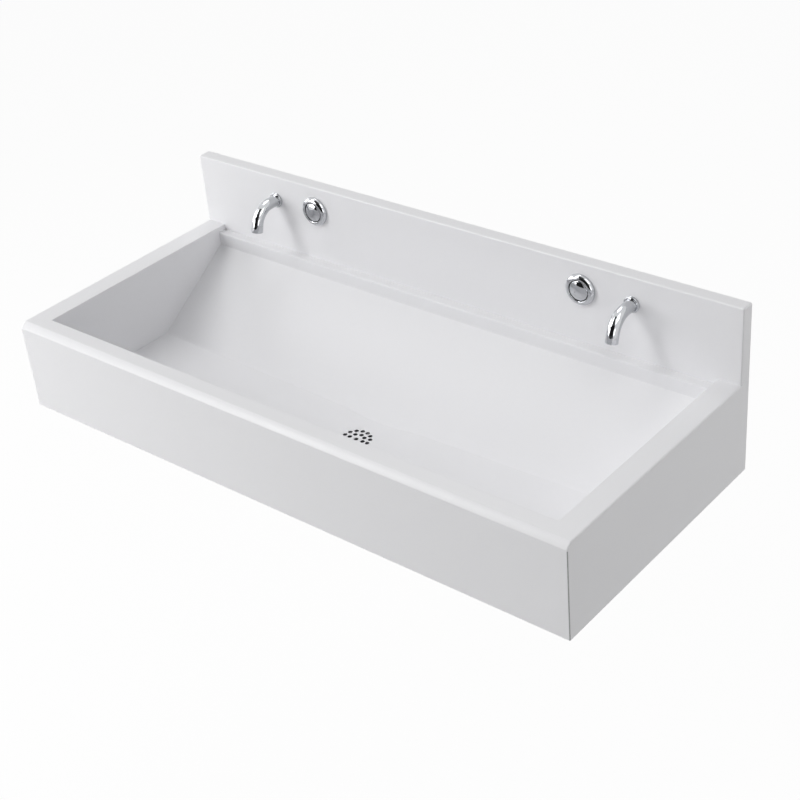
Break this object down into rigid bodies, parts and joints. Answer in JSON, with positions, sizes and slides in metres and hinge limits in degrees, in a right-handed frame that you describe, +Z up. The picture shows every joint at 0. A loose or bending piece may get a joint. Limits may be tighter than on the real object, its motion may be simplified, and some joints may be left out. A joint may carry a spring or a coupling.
{
  "type": "trough sink",
  "caption": "Wall-hung solid-surface hand-wash trough with a sloped bowl, drilled drain grid, splashback, bent spouts and push-button valves.",
  "frame": {"origin": "on the wall plane, at the centre of the four wall-fixing holes in the wall rail", "axes": "+X runs along the wall to the right of someone facing the sink, +Y points into the wall, +Z points up"},
  "size_m": [1.2, 0.565, 0.3915],
  "materials": {
    "solid_surface": "satin",
    "backing_board": "matt sealed",
    "chrome": "polished",
    "brass": "machined",
    "copper": "drawn tube",
    "rubber": "matt",
    "waste_plastic": "moulded",
    "stainless": "turned",
    "spring_steel": "drawn wire"
  },
  "bodies": {
    "root": {"front_apron": "solid_surface", "left_end_panel": "solid_surface", "right_end_panel": "solid_surface", "front_rim": "solid_surface", "left_rim": "solid_surface", "right_rim": "solid_surface", "bowl_front_wall": "solid_surface", "bowl_left_wall": "solid_surface", "bowl_right_wall": "solid_surface", "trough_floor": "solid_surface", "bowl_ramp": "solid_surface", "ledge_riser": "solid_surface", "rear_ledge": "solid_surface", "splashback": "solid_surface", "splashback_core": "backing_board", "splashback_top_strip": "solid_surface", "splashback_left_strip": "solid_surface", "splashback_right_strip": "solid_surface", "wall_rail": "backing_board", "support_ribs": "backing_board", "waste_gasket": "rubber", "waste_cup": "waste_plastic", "waste_screws": "stainless", "left_spout": "chrome", "left_spout_collar": "chrome", "left_spout_outlet": "chrome", "left_spout_washer": "rubber", "left_spout_backnut": "brass", "left_feed_elbow": "brass", "left_link_pipe": "copper", "left_link_nuts": "brass", "left_valve_body": "brass", "left_valve_end_cap": "brass", "left_valve_washer": "rubber", "left_valve_locknut": "brass", "left_button_bezel": "chrome", "left_return_spring": "spring_steel", "right_spout": "chrome", "right_spout_collar": "chrome", "right_spout_outlet": "chrome", "right_spout_washer": "rubber", "right_spout_backnut": "brass", "right_feed_elbow": "brass", "right_link_pipe": "copper", "right_link_nuts": "brass", "right_valve_body": "brass", "right_valve_end_cap": "brass", "right_valve_washer": "rubber", "right_valve_locknut": "brass", "right_button_bezel": "chrome", "right_return_spring": "spring_steel"},
    "left_button": {"left_push_button": "chrome", "left_valve_stem": "stainless"},
    "right_button": {"right_push_button": "chrome", "right_valve_stem": "stainless"}
  },
  "joints": [
    {"name": "left_button_press", "type": "slide", "parent": "root", "child": "left_button", "axis": [0, 1, 0], "range_m": [0, 0.006], "stiffness_N_per_m": 800, "springref_m": -0.006, "deforming": ["left_return_spring"]},
    {"name": "right_button_press", "type": "slide", "parent": "root", "child": "right_button", "axis": [0, 1, 0], "range_m": [0, 0.006], "stiffness_N_per_m": 800, "springref_m": -0.006, "deforming": ["right_return_spring"]}
  ]
}
